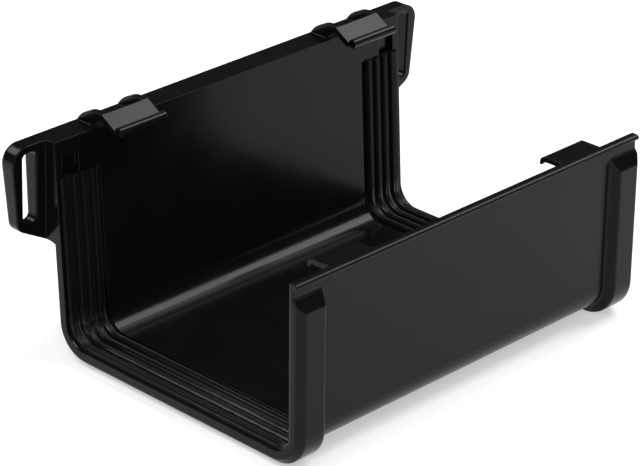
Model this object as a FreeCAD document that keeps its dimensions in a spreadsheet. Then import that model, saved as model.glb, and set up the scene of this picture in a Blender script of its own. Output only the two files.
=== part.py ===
import FreeCAD, Part
import math
import os
import Sketcher

# Gutter union: an open trough with a ribbed rubber seal at each end, hooks that
# hold the gutter's edges and slotted ears that are screwed to the fascia board.
#
# Directions: +X runs along the gutter, +Y points to the fascia board, +Z is up.
# The sketches measure Y from the middle of the trough's floor and Z from the
# floor's upper face; the placement then puts the origin under the middle.

os.makedirs("parts", exist_ok=True)
doc = FreeCAD.newDocument("gutter_union")

# Driving sizes in millimetres and degrees
SIZES = {
    # trough
    "trough_length": 197.0,
    "floor_width": 130.5,
    "front_height": 75.5,
    "back_height": 89.9,
    "front_lean": 0.9,
    "back_lean": 2.1,
    "bend_radius": 10.0,
    "wall": 2.0,
    # collar round each end, measured outwards from the trough's inner face
    "rim_wall": 3.5,
    "collar_height": 6.2,
    "collar_chamfer": 2.7,
    "collar_width": 13.4,
    "collar_slope": 1.9,
    "collar_edge_round": 0.8,
    "collar_foot_round": 1.4,
    "collar_sink": 0.1,
    "collar_below_rim": 6.3,
    "collar_top_drop": 5.4,
    # lip along the front edge
    "lip_depth": 3.8,
    "lip_height": 2.0,
    "lip_round": 1.2,
    "lip_under_round": 0.5,
    # seal channel, measured from the end of the trough
    "flange": 1.2,
    "channel_end": 23.0,
    "channel_depth": 1.0,
    "channel_below_back": 15.9,
    "channel_below_front": 17.3,
    "foot_start": 3.9,
    "foot_end": 10.5,
    "foot_depth": 3.1,
    # seal
    "seal_start": 1.7,
    "seal_end": 21.1,
    "seal_proud": 1.3,
    "seal_gap": 0.1,
    "rib_first": 4.75,
    "rib_pitch": 4.82,
    "rib_width": 3.5,
    "rib_crest_width": 2.7,
    "rib_round": 1.1,
    # moulding recess above each seal
    "recess_start": 3.7,
    "recess_width": 8.5,
    "recess_height": 9.0,
    "recess_depth": 2.4,
    # rail and stiffening ribs behind the back wall
    "fascia_plane": 80.9,
    "rail_wall": 2.5,
    "rail_height": 46.0,
    "rail_rise": 3.0,
    "stiffener": 2.2,
    "stiffener_count": 7,
    # ears
    "ear_depth": 7.2,
    "ear_reach": 17.5,
    "ear_foot_reach": 14.9,
    "ear_height": 36.4,
    "ear_top_round": 7.5,
    "ear_foot_round": 5.5,
    "ear_lean": 2.6,
    "slot_start": 4.9,
    "slot_width": 7.2,
    "slot_height": 32.0,
    "slot_top": 2.9,
    "slot_round": 2.6,
    # hooks on the rail
    "hook_start": 22.7,
    "hook_pitch": 132.8,
    "hook_width": 25.1,
    "hook_rib": 3.2,
    "hook_dome_reach": 4.5,
    "hook_dome_rise": 6.0,
    "hook_dome_round": 13.5,
    "hook_crown_reach": 15.1,
    "hook_crown_rise": 6.5,
    "hook_crown_round": 2.0,
    "hook_plate": 2.45,
    "hook_plate_start": 15.3,
    "hook_leg_reach": 9.2,
    "hook_leg_rise": 2.2,
    "hook_arch_round": 1.5,
    "hook_nose_reach": 23.2,
    "hook_nose_rise": 1.65,
    "bead_reach": 25.4,
    "bead_rise": 1.6,
    "bead_radius": 2.0,
    # tabs inside the front edge
    "tab_start": 20.4,
    "tab_width": 23.6,
    "tab_reach": 11.6,
    "tab_wall": 2.2,
    "tab_drop": 3.8,
    "tab_round": 2.8,
}

sheet = doc.addObject("Spreadsheet::Sheet", "dims")
for row, (alias, value) in enumerate(SIZES.items(), start=1):
    sheet.set(f"A{row}", alias)
    sheet.set(f"B{row}", str(value))
    sheet.setAlias(f"B{row}", alias)
doc.recompute()


class Size:
    """A length worked out from the sheet, kept both as a number and as an expression.

    The number places a sketch's first draft; the expression binds it to the sheet."""

    def __init__(self, text, number):
        self.text = text
        self.number = number

    def combine(self, sign, other, number):
        other_text = other.text if isinstance(other, Size) else str(other)
        return Size(f"({self.text} {sign} {other_text})", number)

    def __add__(self, other):
        return self.combine("+", other, self.number + number_of(other))

    def __sub__(self, other):
        return self.combine("-", other, self.number - number_of(other))

    def __mul__(self, other):
        return self.combine("*", other, self.number * number_of(other))

    def __truediv__(self, other):
        return self.combine("/", other, self.number / number_of(other))

    def __neg__(self):
        return Size(f"(-1 * {self.text})", -self.number)


def number_of(value):
    return value.number if isinstance(value, Size) else value


def size(alias):
    return Size(f"dims.{alias}", float(sheet.get(alias)))


def tangent(alias):
    """Slope of a wall that leans by the named angle."""
    return Size(f"tan(dims.{alias})", math.tan(math.radians(sheet.get(alias))))


def origin_feature(body, role):
    return [item for item in body.Origin.OriginFeatures if item.Role == role][0]


def bind(holder, field, length):
    """Give a property its number and tie it to the sheet."""
    setattr(holder, field, length.number)
    holder.setExpression(field, length.text)


def new_sketch(body, name, plane, offset):
    """Empty sketch on one of the body's own planes, moved along its normal."""
    sketch = body.newObject("Sketcher::SketchObject", name)
    sketch.AttachmentSupport = [(origin_feature(body, plane), "")]
    sketch.MapMode = "FlatFace"
    shift = FreeCAD.Vector(0, 0, offset.number)
    sketch.AttachmentOffset = FreeCAD.Placement(shift, FreeCAD.Rotation())
    sketch.setExpression("AttachmentOffset.Base.z", offset.text)
    return sketch


def fix_point(sketch, geometry, end, across, up):
    """Hold one point of the sketch at bound distances from the origin."""
    for kind, length in (("DistanceX", across), ("DistanceY", up)):
        place = Sketcher.Constraint(kind, -1, 1, geometry, end, length.number)
        index = sketch.addConstraint(place)
        sketch.setExpression(f"Constraints[{index}]", length.text)


def bend_points(before, corner, after, radius):
    """Where a rounded corner leaves its two sides, and the centre of its arc."""
    to_before = (before - corner).normalize()
    to_after = (after - corner).normalize()
    half = to_before.getAngle(to_after) / 2
    reach = radius / math.tan(half)
    centre = corner + (to_before + to_after).normalize() * (radius / math.sin(half))
    return corner + to_before * reach, corner + to_after * reach, centre


def corner_arc(start, finish, centre, radius):
    """Arc from start to finish the short way, and which of its ends is the start."""
    first = math.atan2(start.y - centre.y, start.x - centre.x)
    last = math.atan2(finish.y - centre.y, finish.x - centre.x)
    forwards = math.sin(last - first) > 0
    low, high = (first, last) if forwards else (last, first)
    if high < low:
        high += 2 * math.pi
    circle = Part.Circle(centre, FreeCAD.Vector(0, 0, 1), radius)
    ends = (1, 2) if forwards else (2, 1)
    return Part.ArcOfCircle(circle, low, high), ends


def outline(body, name, plane, offset, corners, closed=True):
    """Sketch with straight sides; each corner is (across, up) or (across, up, radius)."""
    sketch = new_sketch(body, name, plane, offset)
    points = [FreeCAD.Vector(c[0].number, c[1].number, 0) for c in corners]
    count = len(corners)
    leaves = list(points)
    enters = list(points)
    bends = {}
    for i, corner in enumerate(corners):
        if len(corner) == 3:
            before, after = points[i - 1], points[(i + 1) % count]
            radius = corner[2].number
            enters[i], leaves[i], centre = bend_points(before, points[i], after, radius)
            bends[i] = corner_arc(enters[i], leaves[i], centre, radius)
    side_count = count if closed else count - 1
    sides = []
    for i in range(side_count):
        line = Part.LineSegment(leaves[i], enters[(i + 1) % count])
        sides.append(sketch.addGeometry(line, False))
    for i, corner in enumerate(corners):
        across, up = corner[0], corner[1]
        if i in bends:
            arc_shape, (entering, leaving) = bends[i]
            arc = sketch.addGeometry(arc_shape, False)
            apex = sketch.addGeometry(Part.Point(points[i]), True)
            fix_point(sketch, apex, 1, across, up)
            side_in, side_out = sides[i - 1], sides[i]
            sketch.addConstraint(Sketcher.Constraint("PointOnObject", apex, 1, side_in))
            sketch.addConstraint(Sketcher.Constraint("PointOnObject", apex, 1, side_out))
            sketch.addConstraint(Sketcher.Constraint("Tangent", side_in, 2, arc, entering))
            sketch.addConstraint(Sketcher.Constraint("Tangent", arc, leaving, side_out, 1))
            turn = sketch.addConstraint(Sketcher.Constraint("Radius", arc, corner[2].number))
            sketch.setExpression(f"Constraints[{turn}]", corner[2].text)
        elif i < side_count:
            fix_point(sketch, sides[i], 1, across, up)
            if closed or i > 0:
                joint = Sketcher.Constraint("Coincident", sides[i - 1], 2, sides[i], 1)
                sketch.addConstraint(joint)
        else:
            fix_point(sketch, sides[i - 1], 2, across, up)
    return sketch


def add_feature(body, kind, name, profile):
    feature = body.newObject(f"PartDesign::{kind}", name)
    feature.Profile = profile
    return feature


def pad(body, name, profile, length, backwards=False):
    feature = add_feature(body, "Pad", name, profile)
    bind(feature, "Length", length)
    feature.Reversed = backwards
    return feature


def pocket(body, name, profile, length, backwards=False):
    feature = add_feature(body, "Pocket", name, profile)
    bind(feature, "Length", length)
    feature.Reversed = backwards
    return feature


def sweep(body, kind, name, profile, path):
    """Carry a profile along a path in the YZ plane, upright against the X axis."""
    feature = add_feature(body, kind, name, profile)
    feature.Spine = (path, [f"Edge{i + 1}" for i in range(edge_count(path))])
    feature.Mode = "Binormal"
    feature.Binormal = FreeCAD.Vector(1, 0, 0)
    return feature


def edge_count(path):
    doc.recompute()
    return len(path.Shape.Edges)


def mirror(body, name, originals):
    """Repeat features on the other end of the trough."""
    feature = body.newObject("PartDesign::Mirrored", name)
    feature.Originals = originals
    feature.MirrorPlane = (origin_feature(body, "YZ_Plane"), [""])
    body.Tip = feature
    return feature


# Lines and planes that several features share
zero = Size("0", 0.0)
half_length = size("trough_length") / 2
half_floor = size("floor_width") / 2
back_height = size("back_height")
front_height = size("front_height")
fascia = size("fascia_plane")


def back_face(height):
    """Y of the back wall's inner face at a height."""
    return half_floor + tangent("back_lean") * height


def front_face(height):
    """Y of the front wall's inner face at a height."""
    return -(half_floor + tangent("front_lean") * height)


def u_path(body, name, back_top, front_top):
    """Inner outline of the trough: down the back wall, over the floor, up the front."""
    bend = size("bend_radius")
    corners = [
        (back_face(back_top), back_top),
        (half_floor, zero, bend),
        (-half_floor, zero, bend),
        (front_face(front_top), front_top),
    ]
    return outline(body, name, "YZ_Plane", zero, corners, closed=False)


def end_profile(body, name, top, corners, side=1):
    """Profile at the back wall: (distance from the trough's end, outwards, radius)."""
    placed = []
    for inset, outward, *bend in corners:
        across = half_length - inset
        if side < 0:
            across = -across
        placed.append((across, back_face(top) + outward, *bend))
    return outline(body, name, "XY_Plane", top, placed)


# Body of the union, one moulding
union = doc.addObject("PartDesign::Body", "union_body")
union.Label = "union_body"

wall = size("wall")
trough_path = u_path(union, "trough_path", back_height, front_height)
trough_corners = [
    (-half_length, back_face(back_height)),
    (half_length, back_face(back_height)),
    (half_length, back_face(back_height) + wall),
    (-half_length, back_face(back_height) + wall),
]
trough_profile = outline(union, "trough_profile", "XY_Plane", back_height, trough_corners)
trough = sweep(union, "AdditivePipe", "trough", trough_profile, trough_path)

# Rail: a flat top from the back wall to the fascia board
rail_top = back_height
rail_under = back_height - size("rail_wall")
rail_corners = [
    (back_face(rail_under) + wall / 2, rail_under),
    (fascia, rail_under),
    (fascia, rail_top),
    (back_face(rail_top) + wall / 2, rail_top),
]
rail_profile = outline(union, "rail_profile", "YZ_Plane", -half_length, rail_corners)
rail = pad(union, "rail", rail_profile, size("trough_length"))

# Stiffening ribs that stand on the fascia board, one flush with each end
rail_bottom = back_height - size("rail_height")
stiffener_corners = [
    (back_face(rail_bottom) + wall / 2, rail_bottom),
    (fascia, rail_bottom + size("rail_rise")),
    (fascia, rail_under + size("rail_wall") / 2),
    (back_face(rail_under) + wall / 2, rail_under + size("rail_wall") / 2),
]
stiffener_profile = outline(
    union, "stiffener_profile", "YZ_Plane", -half_length, stiffener_corners)
stiffener = pad(union, "stiffener", stiffener_profile, size("stiffener"))
stiffeners = union.newObject("PartDesign::LinearPattern", "stiffeners")
stiffeners.Originals = [stiffener]
stiffeners.Direction = (origin_feature(union, "X_Axis"), [""])
bind(stiffeners, "Length", size("trough_length") - size("stiffener"))
stiffeners.Occurrences = int(sheet.get("stiffener_count"))
stiffeners.setExpression("Occurrences", "dims.stiffener_count")
union.Tip = stiffeners

# Collar: the trough bulges outwards round each end
collar_front_top = front_height - size("collar_below_rim")
collar_foot = size("collar_width") + size("collar_slope")
collar_end = collar_foot + size("collar_foot_round")
collar_corners = [
    (zero, wall / 2),
    (zero, size("rim_wall")),
    (size("collar_chamfer"), size("collar_height"), size("collar_edge_round")),
    (size("collar_width"), size("collar_height"), size("collar_edge_round")),
    (collar_foot, wall - size("collar_sink"), size("collar_foot_round")),
    (collar_end, wall - size("collar_sink")),
    (collar_end, wall / 2),
]
collar_start = rail_under + size("rail_wall") / 2
collar_path = u_path(union, "collar_path", collar_start, collar_front_top)
collar_profile = end_profile(union, "collar_profile", collar_start, collar_corners)
collar = sweep(union, "AdditivePipe", "collar", collar_profile, collar_path)

# The collar's top on the front wall slopes down and outwards
slope_low = collar_front_top - size("collar_top_drop")
slope_corners = [
    (front_face(collar_front_top) - wall, collar_front_top),
    (front_face(collar_front_top) - size("collar_height") - wall, collar_front_top + wall),
    (front_face(slope_low) - size("collar_height") - wall, slope_low - wall),
    (front_face(slope_low) - size("collar_height"), slope_low),
]
slope_start = half_length - collar_foot
slope_profile = outline(union, "slope_profile", "YZ_Plane", slope_start, slope_corners)
slope = pocket(union, "slope", slope_profile, collar_foot, backwards=True)

# Channel for the seal, with a deeper groove for the seal's foot
channel_top = back_height - size("channel_below_back")
channel_front_top = front_height - size("channel_below_front")
channel_path = u_path(union, "channel_path", channel_top, channel_front_top)
inside = -size("seal_proud") * 2
channel_corners = [
    (size("flange"), inside),
    (size("flange"), size("channel_depth")),
    (size("foot_start"), size("channel_depth")),
    (size("foot_start"), size("foot_depth")),
    (size("foot_end"), size("foot_depth")),
    (size("foot_end"), size("channel_depth")),
    (size("channel_end"), size("channel_depth")),
    (size("channel_end"), inside),
]
channel_profile = end_profile(union, "channel_profile", channel_top, channel_corners)

# Moulding recess above each seal
recess_top = channel_top + size("recess_height")
recess_left = half_length - size("recess_start") - size("recess_width")
recess_right = half_length - size("recess_start")
recess_corners = [
    (recess_left, channel_top - wall),
    (recess_right, channel_top - wall),
    (recess_right, recess_top),
    (recess_left, recess_top),
]
recess_front = back_face(channel_top) - size("seal_proud")
recess_profile = outline(
    union, "recess_profile", "XZ_Plane", -recess_front, recess_corners)
recess = pocket(union, "recess", recess_profile, size("recess_depth") + size("seal_proud"))
channel = sweep(union, "SubtractivePipe", "channel", channel_profile, channel_path)

# Ears: slotted loops beyond each end, flush with the rail's top and back
ear_root = half_length - size("stiffener")
ear_low = back_height - size("ear_height")
ear_corners = [
    (ear_root, rail_bottom),
    (half_length + size("ear_foot_reach"), ear_low, size("ear_foot_round")),
    (half_length + size("ear_reach"), back_height, size("ear_top_round")),
    (ear_root, back_height),
]
ear_profile = outline(union, "ear_profile", "XZ_Plane", -fascia, ear_corners)
ear = pad(union, "ear", ear_profile, size("ear_depth"))
ear_front = fascia - size("ear_depth")
lean_low = back_height - size("rail_height") - size("ear_foot_round")
lean_corners = [
    (ear_front, back_height),
    (ear_front + size("ear_lean"), lean_low),
    (ear_front - size("ear_lean"), lean_low),
    (ear_front - size("ear_lean"), back_height),
]
lean_profile = outline(union, "lean_profile", "YZ_Plane", half_length, lean_corners)
lean = pocket(union, "ear_lean", lean_profile, size("ear_reach"), backwards=True)
slot_left = half_length + size("slot_start")
slot_right = slot_left + size("slot_width")
slot_high = back_height - size("slot_top")
slot_low = slot_high - size("slot_height")
slot_round = size("slot_round")
slot_corners = [
    (slot_left, slot_low, slot_round),
    (slot_right, slot_low, slot_round),
    (slot_right, slot_high, slot_round),
    (slot_left, slot_high, slot_round),
]
slot_profile = outline(union, "slot_profile", "XZ_Plane", -ear_front, slot_corners)
slot = pocket(union, "slot", slot_profile, size("ear_depth"))

# Tabs inside the front edge that hold the gutter's front edge down
tab_left = half_length - size("tab_start") - size("tab_width")
tab_root = front_face(front_height)
tab_tip = tab_root + size("tab_reach")
tab_corners = [
    (tab_root - wall / 2, front_height),
    (tab_root - wall / 2, front_height - size("tab_wall")),
    (tab_tip - size("tab_wall"), front_height - size("tab_wall")),
    (tab_tip - size("tab_wall") / 2, front_height - size("tab_drop")),
    (tab_tip, front_height - size("tab_drop")),
    (tab_tip, front_height, size("tab_round")),
]
tab_profile = outline(union, "tab_profile", "YZ_Plane", tab_left, tab_corners)
tab = pad(union, "tab", tab_profile, size("tab_width"))

both_ends = mirror(
    union, "both_ends", [collar, slope, recess, channel, ear, lean, slot, tab])

# Lip along the whole front edge
lip_under = front_height - size("lip_height")
lip_corners = [
    (front_face(front_height), front_height),
    (front_face(front_height), lip_under),
    (front_face(lip_under) - wall, lip_under),
    (front_face(front_height) - size("lip_depth"), lip_under, size("lip_under_round")),
    (front_face(front_height) - size("lip_depth"), front_height, size("lip_round")),
]
lip_profile = outline(union, "lip_profile", "YZ_Plane", -half_length, lip_corners)
lip = pad(union, "lip", lip_profile, size("trough_length"))

# Hooks: sprung plates that arch over the back wall's edge, each between two ribs


def hook_point(reach, rise):
    """Point of the hook's outline, from the rail's back top edge forwards and up."""
    return fascia - reach, back_height + rise


crown = (size("hook_crown_reach"), size("hook_crown_rise"))
nose = (size("hook_nose_reach"), size("hook_nose_rise"))
bead = (size("bead_reach"), size("bead_rise"))
fall = (crown[1] - nose[1]) / (nose[0] - crown[0])
plate = size("hook_plate")
sunk = -size("rail_wall") / 2
stretch = Size(f"sqrt(1 + {fall.text} ^ 2)", math.sqrt(1 + fall.number ** 2))
under_drop = plate * stretch


def plate_top(reach):
    """Rise of the plate's upper face at a reach."""
    return crown[1] - fall * (reach - crown[0])


def plate_under(reach):
    """Rise of the plate's lower face at a reach."""
    return plate_top(reach) - under_drop


plate_start = size("hook_plate_start")
plate_back = plate_start - plate / 2
under_end = nose[0] - plate / 2
plate_corners = [
    hook_point(plate_back, plate_under(plate_back)),
    hook_point(under_end, plate_under(under_end)),
    hook_point(bead[0], bead[1] - size("bead_radius") / 2),
    hook_point(*bead),
    hook_point(*nose),
    hook_point(plate_start, plate_top(plate_start)),
]
hook_left = size("hook_start") - half_length
plate_profile = outline(union, "plate_profile", "YZ_Plane", hook_left, plate_corners)
hook_plate = pad(union, "hook_plate", plate_profile, size("hook_width"))
leg = size("hook_leg_reach")
arch_end = plate_start + plate / 2
rib_corners = [
    hook_point(zero, sunk),
    hook_point(leg, sunk),
    (*hook_point(leg, size("hook_leg_rise")), size("hook_arch_round")),
    (*hook_point(plate_start, plate_under(plate_start)), size("hook_arch_round")),
    hook_point(arch_end, plate_under(arch_end)),
    hook_point(arch_end, plate_top(arch_end)),
    (*hook_point(*crown), size("hook_crown_round")),
    (*hook_point(size("hook_dome_reach"), size("hook_dome_rise")), size("hook_dome_round")),
    hook_point(zero, zero),
]
rib_profile = outline(union, "rib_profile", "YZ_Plane", hook_left, rib_corners)
near_rib = pad(union, "near_rib", rib_profile, size("hook_rib"))
far_left = hook_left + size("hook_width") - size("hook_rib")
far_profile = outline(union, "far_profile", "YZ_Plane", far_left, rib_corners)
far_rib = pad(union, "far_rib", far_profile, size("hook_rib"))
bead_sketch = new_sketch(union, "bead_sketch", "YZ_Plane", hook_left)
bead_across, bead_up = hook_point(*bead)
bead_centre = FreeCAD.Vector(bead_across.number, bead_up.number, 0)
bead_radius = size("bead_radius")
bead_circle = Part.Circle(bead_centre, FreeCAD.Vector(0, 0, 1), bead_radius.number)
bead_ring = bead_sketch.addGeometry(bead_circle, False)
fix_point(bead_sketch, bead_ring, 3, bead_across, bead_up)
ring_size = bead_sketch.addConstraint(
    Sketcher.Constraint("Radius", bead_ring, bead_radius.number))
bead_sketch.setExpression(f"Constraints[{ring_size}]", bead_radius.text)
hook_bead = pad(union, "hook_bead", bead_sketch, size("hook_width"))
hooks = union.newObject("PartDesign::LinearPattern", "hooks")
hooks.Originals = [hook_plate, near_rib, far_rib, hook_bead]
hooks.Direction = (origin_feature(union, "X_Axis"), [""])
bind(hooks, "Length", size("hook_pitch"))
hooks.Occurrences = 2
union.Tip = hooks


# Seals: ribbed rubber strips bedded in the channels
def make_seal(name, side):
    """One seal; side is -1 at the left end and 1 at the right end."""
    body = doc.addObject("PartDesign::Body", name)
    body.Label = name
    gap = size("seal_gap")
    top = channel_top - gap
    valley = zero
    crest = -size("seal_proud")
    half_crest = size("rib_crest_width") / 2
    half_rib = size("rib_width") / 2
    corners = [
        (size("seal_start"), size("channel_depth")),
        (size("foot_start") + gap, size("channel_depth")),
        (size("foot_start") + gap, size("foot_depth") - gap),
        (size("foot_end") - gap, size("foot_depth") - gap),
        (size("foot_end") - gap, size("channel_depth")),
        (size("seal_end"), size("channel_depth")),
    ]
    for i in (3, 2, 1, 0):
        middle = size("rib_first") + size("rib_pitch") * i
        inner_foot = size("seal_end") if i == 3 else middle + half_rib
        outer_foot = size("seal_start") if i == 0 else middle - half_rib
        outer_crest = size("seal_start") + half_crest / 4 if i == 0 else middle - half_crest
        corners.append((inner_foot, valley))
        corners.append((middle + half_crest, crest, size("rib_round")))
        corners.append((outer_crest, crest, size("rib_round")))
        corners.append((outer_foot, valley))
    path = u_path(body, name + "_path", top, channel_front_top - gap)
    profile = end_profile(body, name + "_profile", top, corners, side)
    sweep(body, "AdditivePipe", name + "_strip", profile, path)
    return body


seal_left = make_seal("seal_left", -1)
seal_right = make_seal("seal_right", 1)

# All three share one placement: origin under the middle, on the collars' underside
parts = [union, seal_left, seal_right]
front_reach = -front_face(slope_low) + size("collar_height")
shift_y = (front_reach - fascia) / 2
for piece in parts:
    piece.Placement.Base = FreeCAD.Vector(0, shift_y.number, sheet.get("collar_height"))
    piece.setExpression("Placement.Base.y", shift_y.text)
    piece.setExpression("Placement.Base.z", "dims.collar_height")
doc.recompute()

for item in doc.Objects:
    if "Invalid" in item.State or "Error" in item.State:
        raise RuntimeError(f"{item.Name} failed: {item.State}")
for piece in parts:
    shape = piece.Shape
    if shape.isNull() or not shape.isValid() or len(shape.Solids) != 1:
        raise RuntimeError(f"{piece.Label} is not one sound solid")
    shape.exportStep(f"parts/{piece.Label}.step")
    box = shape.BoundBox
    print(f"{piece.Label}: {shape.Volume / 1000:.1f} cm3, "
          f"X {box.XMin:.2f} {box.XMax:.2f} Y {box.YMin:.2f} {box.YMax:.2f} "
          f"Z {box.ZMin:.2f} {box.ZMax:.2f}")
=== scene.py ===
# %% [markdown]
# Gutter union: the short open trough that joins two lengths of box gutter under a
# roof's edge. The real one is moulded in one shot from black PVC-U, with a strip of
# EPDM rubber bedded across the trough at each end. The solids come from CAD with
# their shape and size, so this file adds what CAD doesn't have: how the plastic and
# the rubber take the light, a table to stand on, lamps and a camera.

# %% Load the fixed frame
import math

import bpy
import numpy as np
from mathutils import Matrix

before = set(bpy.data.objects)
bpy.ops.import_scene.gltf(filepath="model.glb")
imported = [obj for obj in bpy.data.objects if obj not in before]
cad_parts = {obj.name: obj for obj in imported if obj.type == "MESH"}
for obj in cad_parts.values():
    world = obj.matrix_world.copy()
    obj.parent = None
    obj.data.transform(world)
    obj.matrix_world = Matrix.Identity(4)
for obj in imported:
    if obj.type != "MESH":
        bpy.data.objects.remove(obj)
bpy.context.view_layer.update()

# %% [markdown]
# Colours are written as the sRGB hex values a painter would pick from a swatch.
# Blender's shaders work with light, not with swatches, so one function turns a hex
# value into linear red, green and blue. Patterns are sized in millimetres, because
# that is how a grain or a ripple is measured on a real part. A noise texture gives
# values round a half and seldom leaves the band named here, so a material spreads
# its own range over that band.


# %% Colour and pattern units
def linear(hex_colour):
    """sRGB hex to linear RGBA: the standard curve, straight near black, then bent."""
    levels = np.array([int(hex_colour[i:i + 2], 16) for i in (1, 3, 5)]) / 255
    bent = ((levels + 0.055) / 1.055) ** 2.4
    curve = np.where(levels <= 0.04045, levels / 12.92, bent)
    return (*curve.tolist(), 1.0)


def repeats(millimetres):
    """Scale of a noise texture whose features are this many millimetres across."""
    return 1000 / millimetres


NOISE_LOW, NOISE_HIGH = 0.3, 0.7
print("pure white is", linear("#FFFFFF"), "and 5 mm features need scale", repeats(5))

# %% [markdown]
# Each material is a small graph of nodes. Building one always takes the same steps:
# make the node, fill in its settings, join its inputs to other nodes' outputs. One
# helper does all three, so a material reads as a list of what it is made of.


# %% One helper that adds a node
def add_node(tree, kind, settings=None, links=None):
    """Add a node. A setting is an input's name or number, or else a property."""
    node = tree.nodes.new(kind)
    for key, value in (settings or {}).items():
        if isinstance(key, int) or key in node.inputs:
            node.inputs[key].default_value = value
        else:
            setattr(node, key, value)
    for key, source in (links or {}).items():
        tree.links.new(source, node.inputs[key])
    return node


def new_material(name):
    """Material with an empty node tree."""
    material = bpy.data.materials.new(name)
    material.use_nodes = True
    material.node_tree.nodes.clear()
    return material


BEVEL_SAMPLES = 8
print("edges are rounded in the shading with", BEVEL_SAMPLES, "samples")

# %% [markdown]
# The body is rigid PVC-U, injection moulded in a polished steel tool, so its skin is
# almost a mirror, and black pigment swallows the light that gets inside. What the eye
# sees is therefore mostly reflection: pale where a face mirrors the table, black where
# it mirrors the dark room. Three things keep it from looking like glass. The first is
# that its polish varies in soft patches, and its black with it.

# %% Moulded black PVC-U: pigment and polish
HAZE_SIZE = 22.0
POLISHED, HAZED = 0.17, 0.23

pvc = new_material("moulded_black_pvc_u")
tree = pvc.node_tree
place = add_node(tree, "ShaderNodeTexCoord")
haze = add_node(
    tree, "ShaderNodeTexNoise",
    {"Scale": repeats(HAZE_SIZE), "Detail": 3.0, "Roughness": 0.55},
    {"Vector": place.outputs["Object"]})
polish = add_node(
    tree, "ShaderNodeMapRange",
    {"From Min": NOISE_LOW, "From Max": NOISE_HIGH,
     "To Min": POLISHED, "To Max": HAZED},
    {"Value": haze.outputs["Fac"]})
tint = add_node(tree, "ShaderNodeValToRGB", {}, {"Fac": haze.outputs["Fac"]})
tint.color_ramp.elements[0].color = linear("#0F0C10")
tint.color_ramp.elements[1].color = linear("#141115")
print(pvc.name, "has roughness from", POLISHED, "to", HAZED)

# %% [markdown]
# The second is that no moulded edge is sharp. The Bevel node shows this by bending the
# shading normal near each edge, so it rounds the look and leaves the mesh as it is. The
# ears, the lip and the front collars have fuller rounds than the rest, so the radius
# follows Object coordinates, which are metres from the part's middle. It grows past the
# trough's ends in X. At the front, which is low in Y, it grows on the lip, which is
# high in Z, and on the collars, which are far out in X.

# %% Moulded black PVC-U: how round each edge is
EDGE_ROUND = 0.5e-3
EAR_ROUND = 1.4e-3
LIP_ROUND = 1.6e-3
COLLAR_ROUND = 1.5e-3
TROUGH_END = 0.0985
COLLAR_FOOT = 0.0815
LIP_BACK = -0.069
LIP_FOOT = 0.078
LIP_END = 0.0975

axes = add_node(tree, "ShaderNodeSeparateXYZ", {}, {"Vector": place.outputs["Object"]})
along = add_node(
    tree, "ShaderNodeMath", {"operation": "ABSOLUTE"}, {0: axes.outputs["X"]})
round_size = add_node(
    tree, "ShaderNodeMapRange",
    {"From Min": TROUGH_END, "From Max": TROUGH_END + EAR_ROUND,
     "To Min": EDGE_ROUND, "To Max": EAR_ROUND},
    {"Value": along.outputs["Value"]})
front = add_node(
    tree, "ShaderNodeMath", {"operation": "LESS_THAN", 1: LIP_BACK},
    {0: axes.outputs["Y"]})
high = add_node(
    tree, "ShaderNodeMath", {"operation": "GREATER_THAN", 1: LIP_FOOT},
    {0: axes.outputs["Z"]})
inside = add_node(
    tree, "ShaderNodeMath", {"operation": "LESS_THAN", 1: LIP_END},
    {0: along.outputs["Value"]})
lip_size = add_node(
    tree, "ShaderNodeMath", {"operation": "MULTIPLY", 1: LIP_ROUND},
    {0: inside.outputs["Value"]})
outer = add_node(
    tree, "ShaderNodeMath", {"operation": "GREATER_THAN", 1: COLLAR_FOOT},
    {0: along.outputs["Value"]})
collar_size = add_node(
    tree, "ShaderNodeMath", {"operation": "MULTIPLY", 1: COLLAR_ROUND},
    {0: outer.outputs["Value"]})
front_size = add_node(
    tree, "ShaderNodeMix", {},
    {"Factor": high.outputs["Value"], "A": collar_size.outputs["Value"],
     "B": lip_size.outputs["Value"]})
front_only = add_node(
    tree, "ShaderNodeMath", {"operation": "MULTIPLY"},
    {0: front.outputs["Value"], 1: front_size.outputs["Result"]})
radius = add_node(
    tree, "ShaderNodeMath", {"operation": "MAXIMUM"},
    {0: round_size.outputs["Result"], 1: front_only.outputs["Value"]})
rounded = add_node(
    tree, "ShaderNodeBevel", {"samples": BEVEL_SAMPLES},
    {"Radius": radius.outputs["Value"]})
rounds = (EDGE_ROUND, EAR_ROUND, LIP_ROUND, COLLAR_ROUND)
print("edge rounds in mm:", [round(1000 * size, 1) for size in rounds])

# %% [markdown]
# The third is that the skin is not quite flat. It ripples very slightly where the
# plastic shrank on the mould, and carries a grain that is finer still. Bump nodes
# stand for both, one after the other, on top of the rounded edges. PVC's index is near
# 1.5. A shader's usual specular level is 0.5, and here it is lower, because that is
# how dark the photograph shows the faces that mirror the room.

# %% Moulded black PVC-U: ripple, grain and skin
RIPPLE_SIZE = 14.0
RIPPLE_DEPTH = 0.05e-3
RIPPLE_STRENGTH = 0.25
GRAIN_SIZE = 0.9
GRAIN_DEPTH = 0.004e-3
GRAIN_STRENGTH = 0.15
PVC_INDEX = 1.5
PVC_SPECULAR = 0.15

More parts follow.
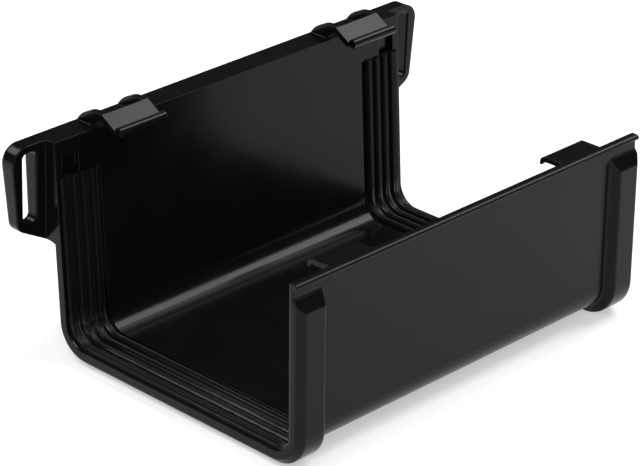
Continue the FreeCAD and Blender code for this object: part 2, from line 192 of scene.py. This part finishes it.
ripple = add_node(
    tree, "ShaderNodeTexNoise",
    {"Scale": repeats(RIPPLE_SIZE), "Detail": 1.0},
    {"Vector": place.outputs["Object"]})
ripple_bump = add_node(
    tree, "ShaderNodeBump", {"Strength": RIPPLE_STRENGTH, "Distance": RIPPLE_DEPTH},
    {"Height": ripple.outputs["Fac"], "Normal": rounded.outputs["Normal"]})
grain = add_node(
    tree, "ShaderNodeTexNoise",
    {"Scale": repeats(GRAIN_SIZE), "Detail": 2.0},
    {"Vector": place.outputs["Object"]})
grain_bump = add_node(
    tree, "ShaderNodeBump", {"Strength": GRAIN_STRENGTH, "Distance": GRAIN_DEPTH},
    {"Height": grain.outputs["Fac"], "Normal": ripple_bump.outputs["Normal"]})
skin = add_node(
    tree, "ShaderNodeBsdfPrincipled",
    {"IOR": PVC_INDEX, "Specular IOR Level": PVC_SPECULAR},
    {"Base Color": tint.outputs["Color"], "Roughness": polish.outputs["Result"],
     "Normal": grain_bump.outputs["Normal"]})
add_node(tree, "ShaderNodeOutputMaterial", {}, {"Surface": skin.outputs["BSDF"]})
print(pvc.name, "has", len(tree.nodes), "nodes")

# %% [markdown]
# The seals are EPDM, extruded as a flat strip with ribs and pressed into the channel.
# Rubber is softer to the eye than the plastic: the same black, but the die leaves a
# fine dull grain, so highlights spread and only the crests of the ribs catch light.
# The die also draws faint lines along the strip. They run round the trough, so a Wave
# texture banded in X follows them, and they break up the glint where the strip bends.
# Real die lines are a third of a millimetre apart, too fine for this picture, so they
# are drawn coarser, 1.7 mm apart. At scale 1 a Wave texture repeats every two pi over
# twenty, which is its period here.

# %% Extruded black EPDM: pigment, ribs and die lines
RUBBER_PATCH = 9.0
SLICK, DULL = 0.17, 0.25
RIB_ROUND = 0.6e-3
DIE_LINE = 1.7
WAVE_PERIOD = 0.314

epdm = new_material("extruded_black_epdm")
tree = epdm.node_tree
place = add_node(tree, "ShaderNodeTexCoord")
patch = add_node(
    tree, "ShaderNodeTexNoise",
    {"Scale": repeats(RUBBER_PATCH), "Detail": 4.0, "Roughness": 0.6},
    {"Vector": place.outputs["Object"]})
dullness = add_node(
    tree, "ShaderNodeMapRange",
    {"From Min": NOISE_LOW, "From Max": NOISE_HIGH, "To Min": SLICK, "To Max": DULL},
    {"Value": patch.outputs["Fac"]})
bloom = add_node(tree, "ShaderNodeValToRGB", {}, {"Fac": patch.outputs["Fac"]})
bloom.color_ramp.elements[0].color = linear("#100E11")
bloom.color_ramp.elements[1].color = linear("#18151A")
rounded = add_node(
    tree, "ShaderNodeBevel", {"samples": BEVEL_SAMPLES, "Radius": RIB_ROUND})
die = add_node(
    tree, "ShaderNodeTexWave",
    {"bands_direction": "X", "Scale": repeats(DIE_LINE) * WAVE_PERIOD,
     "Distortion": 0.6, "Detail": 1.0},
    {"Vector": place.outputs["Object"]})
print("die lines are", DIE_LINE, "mm apart")

# %% [markdown]
# Round the bend the strip is pulled tight, so its skin is slicker and its lines stand
# out. On the floor they are half as strong, and up the walls the strip keeps the dull
# face that the die gave it. Height above the table tells the three apart. New rubber
# also carries a powdery bloom that shows at a low angle, as sheen. The walls get a
# tenth of it, because the photograph shows little there. Gloss and sheen change with
# height, so they are linked, and a model exported without links has neither.

# %% Extruded black EPDM: floor, bend and walls
WALL_FOOT = 0.020
BEND_TOP = 0.014
BEND_FOOT = 0.009
FLOOR_TOP = 0.0076
ON_WALL, ON_FLOOR = 0.1, 0.5
WALL_DULLNESS = 0.46
WALL_GLOSS = 0.05
BEND_GLOSS = 0.2
BLOOM = 0.5

axes = add_node(tree, "ShaderNodeSeparateXYZ", {}, {"Vector": place.outputs["Object"]})
below_wall = add_node(
    tree, "ShaderNodeMapRange",
    {"From Min": WALL_FOOT, "From Max": BEND_TOP, "To Min": ON_WALL, "To Max": 1.0},
    {"Value": axes.outputs["Z"]})
above_floor = add_node(
    tree, "ShaderNodeMapRange",
    {"From Min": FLOOR_TOP, "From Max": BEND_FOOT, "To Min": ON_FLOOR, "To Max": 1.0},
    {"Value": axes.outputs["Z"]})
tight = add_node(
    tree, "ShaderNodeMath", {"operation": "MULTIPLY"},
    {0: below_wall.outputs["Result"], 1: above_floor.outputs["Result"]})
matt = add_node(
    tree, "ShaderNodeMix", {"A": WALL_DULLNESS},
    {"Factor": below_wall.outputs["Result"], "B": dullness.outputs["Result"]})
gloss = add_node(
    tree, "ShaderNodeMapRange", {"To Min": WALL_GLOSS, "To Max": BEND_GLOSS},
    {"Value": tight.outputs["Value"]})
powder = add_node(
    tree, "ShaderNodeMath", {"operation": "MULTIPLY", 1: BLOOM},
    {0: below_wall.outputs["Result"]})
print("the bend lies between", 1000 * BEND_FOOT, "and", 1000 * BEND_TOP, "mm up")

# %% [markdown]
# The die lines and a fine grain are bumps, one on top of the other, and the lines are
# as strong as the strip is tight.

# %% Extruded black EPDM: lines, grain and skin
DIE_DEPTH = 0.35e-3
RUBBER_GRAIN = 0.5
RUBBER_GRAIN_DEPTH = 0.02e-3
RUBBER_GRAIN_STRENGTH = 0.15
EPDM_INDEX = 1.5
BLOOM_SPREAD = 0.3

die_bump = add_node(
    tree, "ShaderNodeBump", {"Distance": DIE_DEPTH},
    {"Strength": tight.outputs["Value"], "Height": die.outputs["Fac"],
     "Normal": rounded.outputs["Normal"]})
grain = add_node(
    tree, "ShaderNodeTexNoise",
    {"Scale": repeats(RUBBER_GRAIN), "Detail": 2.0},
    {"Vector": place.outputs["Object"]})
grain_bump = add_node(
    tree, "ShaderNodeBump",
    {"Strength": RUBBER_GRAIN_STRENGTH, "Distance": RUBBER_GRAIN_DEPTH},
    {"Height": grain.outputs["Fac"], "Normal": die_bump.outputs["Normal"]})
rubber = add_node(
    tree, "ShaderNodeBsdfPrincipled",
    {"IOR": EPDM_INDEX, "Sheen Roughness": BLOOM_SPREAD},
    {"Base Color": bloom.outputs["Color"], "Roughness": matt.outputs["Result"],
     "Specular IOR Level": gloss.outputs["Result"],
     "Sheen Weight": powder.outputs["Value"],
     "Normal": grain_bump.outputs["Normal"]})
add_node(tree, "ShaderNodeOutputMaterial", {}, {"Surface": rubber.outputs["BSDF"]})
print(epdm.name, "has", len(tree.nodes), "nodes")

# %% [markdown]
# A CAD node keeps its mesh. Only what fills its material slot changes.

# %% Dress the CAD nodes
finishes = {"union_body": pvc, "seal_left": epdm, "seal_right": epdm}
for name, finish in finishes.items():
    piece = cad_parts[name]
    for slot in piece.material_slots:
        slot.material = finish
    print(name, "is", finish.name, "on", len(piece.data.polygons), "faces")

# %% [markdown]
# The table is a plain white sheet, far larger than the view, so its edge never shows.
# A black glossy part needs it twice: as the ground, and as the pale thing its upright
# faces mirror. The sheet takes shadows as a dull white. Light Path adds a steady glow
# that camera, glossy and transmission rays see, which lifts the white to paper white
# without pouring more light on the part.

# %% Table
TABLE_HALF = 12.0
TABLE_GLOW = 0.48
table_mesh = bpy.data.meshes.new("table")
corners = np.array([(-1, -1), (1, -1), (1, 1), (-1, 1)], float) * TABLE_HALF
flat = np.column_stack([corners, np.zeros(len(corners))])
table_mesh.from_pydata(flat.tolist(), [], [list(range(len(corners)))])
table = bpy.data.objects.new("table", table_mesh)
bpy.context.scene.collection.objects.link(table)

table_white = new_material("table_white")
tree = table_white.node_tree
sheet = add_node(tree, "ShaderNodeBsdfDiffuse", {"Color": linear("#E9E9E9")})
path = add_node(tree, "ShaderNodeLightPath")
seen = add_node(
    tree, "ShaderNodeMath", {"operation": "MAXIMUM"},
    {0: path.outputs["Is Camera Ray"], 1: path.outputs["Is Glossy Ray"]})
seen_too = add_node(
    tree, "ShaderNodeMath", {"operation": "MAXIMUM"},
    {0: seen.outputs["Value"], 1: path.outputs["Is Transmission Ray"]})
lift = add_node(
    tree, "ShaderNodeMath", {"operation": "MULTIPLY", 1: TABLE_GLOW},
    {0: seen_too.outputs["Value"]})
glow = add_node(
    tree, "ShaderNodeEmission", {"Color": linear("#FFFFFF")},
    {"Strength": lift.outputs["Value"]})
both = add_node(
    tree, "ShaderNodeAddShader", {},
    {0: sheet.outputs["BSDF"], 1: glow.outputs["Emission"]})
add_node(tree, "ShaderNodeOutputMaterial", {}, {"Surface": both.outputs["Shader"]})
table_mesh.materials.append(table_white)
print("table is", 2 * TABLE_HALF, "m wide")

# %% [markdown]
# The room is dark above the table, which is what makes the tops of the part black.
# The key softbox hangs past the part's right end (+X) and a little to its front (-Y).
# Its reflection draws the bright line along the trough's bend and whitens the hooks. A
# dim sheet past the same end, to the back, adds the thin light line along the front
# lip and on the hooks' beads. A sheet overhead and another behind the camera light the
# dull parts and the table, and a strip at the back puts the glint on the ears' round
# corners. An area lamp's brightness is its power over pi times its area, so the helper
# takes the brightness wanted and works out the power.


# %% Room and lamps
ROOM_LIGHT = 0.05
world = bpy.data.worlds.new("dark_room")
world.use_nodes = True
room = world.node_tree.nodes["Background"]
room.inputs["Color"].default_value = linear("#FFFFFF")
room.inputs["Strength"].default_value = ROOM_LIGHT
bpy.context.scene.world = world


def unit(vector):
    """Vector scaled to length one."""
    vector = np.asarray(vector, float)
    return vector / np.linalg.norm(vector)


def aim(item, position, backwards, upwards):
    """Place a lamp or camera, which looks along minus its own Z, its own Y upwards."""
    side = unit(np.cross(upwards, backwards))
    top = np.cross(backwards, side)
    matrix = np.eye(4)
    matrix[:3, 0], matrix[:3, 1], matrix[:3, 2] = side, top, backwards
    matrix[:3, 3] = position
    item.matrix_world = Matrix(matrix.tolist())


# The point all lamps face, and the way a lamp's height runs: to the back, and a
# hair upwards, so that it never lines up with the way the lamp looks
PART_MIDDLE = np.array([0.0, 0.0, 0.05])
LAMP_UPWARDS = (0.0, 1.0, 0.001)


def softbox(name, direction, distance, width, height, brightness):
    """Rectangular lamp that faces the middle of the part from a direction."""
    lamp = bpy.data.lights.new(name, "AREA")
    lamp.shape = "RECTANGLE"
    lamp.size, lamp.size_y = width, height
    lamp.energy = brightness * math.pi * width * height
    item = bpy.data.objects.new(name, lamp)
    bpy.context.scene.collection.objects.link(item)
    direction = unit(direction)
    aim(item, PART_MIDDLE + direction * distance, direction, LAMP_UPWARDS)
    print(name, "gives", round(lamp.energy, 2), "W")


# Name, direction from the part, then distance, width and height in metres, brightness
LAMPS = [
    ("key_softbox", (0.63, -0.19, 0.75), 1.6, 0.9, 0.8, 7.0),
    ("side_sheet", (0.66, 0.30, 0.70), 2.4, 1.2, 1.0, 0.7),
    ("overhead_sheet", (-0.25, 0.1, 1.0), 2.2, 1.4, 1.4, 1.8),
    ("camera_sheet", (-0.75, -0.7, 0.75), 2.4, 2.0, 1.4, 1.8),
    ("back_strip", (-0.25, 0.64, 0.70), 1.8, 1.0, 0.4, 7.5),
]
for row in LAMPS:
    softbox(*row)

# %% [markdown]
# The camera stands where the photograph was taken. Its place and lens were solved from
# the edges of the trough in the picture: 25.8 degrees above the table, about 1.3 m
# away, with a long lens that hardly converges.

# %% Camera
CAMERA_PLACE = (-0.80777, -0.80806, 0.59630)
AZIMUTH = math.radians(-44.5258)
ELEVATION = math.radians(25.7587)
ROLL = math.radians(-0.1536)
FOCAL_PIXELS = 3073.05
IMAGE_WIDTH = 640
SENSOR = 36.0

forwards = np.array([
    -math.sin(AZIMUTH) * math.cos(ELEVATION),
    math.cos(AZIMUTH) * math.cos(ELEVATION),
    -math.sin(ELEVATION)])
level = np.array([math.cos(AZIMUTH), math.sin(AZIMUTH), 0.0])
upright = np.cross(level, forwards)
tilted = upright * math.cos(ROLL) - level * math.sin(ROLL)
lens = bpy.data.cameras.new("camera")
lens.sensor_width = SENSOR
lens.lens = SENSOR * FOCAL_PIXELS / IMAGE_WIDTH
camera = bpy.data.objects.new("camera", lens)
bpy.context.scene.collection.objects.link(camera)
aim(camera, CAMERA_PLACE, -forwards, tilted)
bpy.context.scene.camera = camera
bpy.context.scene.view_settings.view_transform = "Standard"
print("lens", round(lens.lens, 1), "mm")
